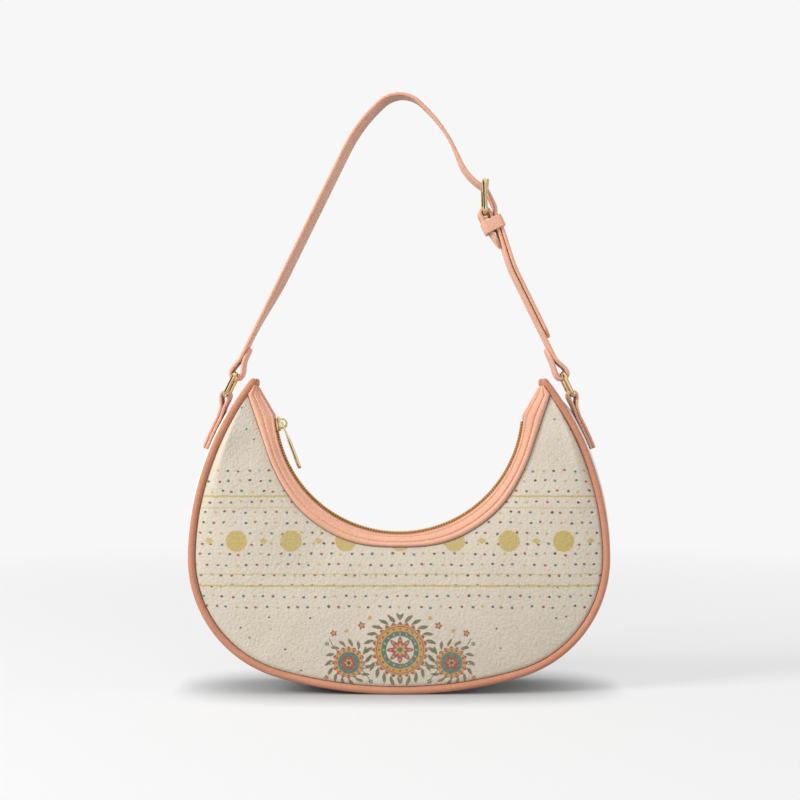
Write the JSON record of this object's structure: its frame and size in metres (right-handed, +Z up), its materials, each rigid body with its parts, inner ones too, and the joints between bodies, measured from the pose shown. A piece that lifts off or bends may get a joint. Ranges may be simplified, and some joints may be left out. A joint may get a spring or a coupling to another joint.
{
  "type": "half moon bag",
  "caption": "Half moon shoulder bag: a crescent body with piped edges, a curved metal zip along its mouth, and a buckled leather strap on two hinged rings.",
  "frame": {"origin": "on the resting surface, under the middle of the bag", "axes": "+Z up, +Y from the printed front towards the back, +X from the left tip to the right tip, with the buckle on +X"},
  "size_m": [0.2858, 0.0646, 0.4035],
  "materials": {
    "cream_leather": "pebbled, printed",
    "gusset_leather": "pebbled",
    "strap_leather": "smooth, satin",
    "gold_metal": "polished pale gold plating",
    "zip_tape": "woven tape",
    "lining_cloth": "plain weave",
    "backing_board": "pressed fibre",
    "piping_cord": "twisted cotton"
  },
  "bodies": {
    "bag": {"front_panel": "cream_leather", "back_panel": "cream_leather", "gusset": "gusset_leather", "front_piping": "strap_leather", "back_piping": "strap_leather", "front_piping_cord": "piping_cord", "back_piping_cord": "piping_cord", "front_mouth_trim": "strap_leather", "back_mouth_trim": "strap_leather", "front_zip_facing": "strap_leather", "back_zip_facing": "strap_leather", "left_end_cover": "strap_leather", "right_end_cover": "strap_leather", "front_zip_tape": "zip_tape", "back_zip_tape": "zip_tape", "front_zip_teeth": "gold_metal", "back_zip_teeth": "gold_metal", "zip_stops": "gold_metal", "front_backing": "backing_board", "back_backing": "backing_board", "gusset_backing": "backing_board", "front_lining": "lining_cloth", "back_lining": "lining_cloth", "gusset_lining": "lining_cloth", "slip_pocket": "lining_cloth", "left_anchor_tab": "strap_leather", "right_anchor_tab": "strap_leather", "left_anchor_patch": "backing_board", "right_anchor_patch": "backing_board"},
    "zip_slider": {"zip_slider": "gold_metal", "zip_slider_bridge": "gold_metal"},
    "zip_pull": {"zip_pull": "gold_metal"},
    "left_ring": {"left_ring": "gold_metal"},
    "right_ring": {"right_ring": "gold_metal"},
    "strap": {"shoulder_strap": "strap_leather", "buckle_strap": "strap_leather"},
    "buckle_frame": {"buckle_frame": "gold_metal"},
    "buckle_prong": {"buckle_prong": "gold_metal"},
    "strap_keeper": {"strap_keeper": "strap_leather"}
  },
  "joints": [
    {"name": "zip_slide", "type": "hinge", "parent": "bag", "child": "zip_slider", "pos_m": [0, 0, 0.1889], "axis": [0, -1, 0], "range_deg": [0, 166]},
    {"name": "pull_swing", "type": "hinge", "parent": "zip_slider", "child": "zip_pull", "pos_m": [-0.07992, 0, 0.18009], "axis": [0, -1, 0], "range_deg": [-5, 145]},
    {"name": "left_ring_swing", "type": "hinge", "parent": "bag", "child": "left_ring", "pos_m": [-0.1179, 0, 0.1983], "axis": [0, 1, 0], "range_deg": [-12, 12]},
    {"name": "strap_swing", "type": "hinge", "parent": "left_ring", "child": "strap", "pos_m": [-0.11075, 0, 0.21284], "axis": [0, 1, 0], "range_deg": [-12.9, 12.9]},
    {"name": "right_ring_swing", "type": "hinge", "parent": "bag", "child": "right_ring", "pos_m": [0.1179, 0, 0.1983], "axis": [0, 1, 0], "range_deg": [-12, 12]},
    {"name": "buckle_tilt", "type": "hinge", "parent": "strap", "child": "buckle_frame", "pos_m": [0.0584, 0, 0.32171], "axis": [0, 1, 0], "range_deg": [-1.5, 1.5]},
    {"name": "prong_lift", "type": "hinge", "parent": "buckle_frame", "child": "buckle_prong", "pos_m": [0.0584, 0, 0.32171], "axis": [0, 1, 0], "range_deg": [0, 1.5]},
    {"name": "keeper_slide", "type": "slide", "parent": "strap", "child": "strap_keeper", "axis": [-0.4415, 0, 0.8973], "range_m": [-0.0025, 0]}
  ],
  "couplings": [
    {"joint": "strap_swing", "follows": "left_ring_swing", "ratio": -1.064},
    {"joint": "right_ring_swing", "follows": "left_ring_swing", "ratio": 1}
  ]
}
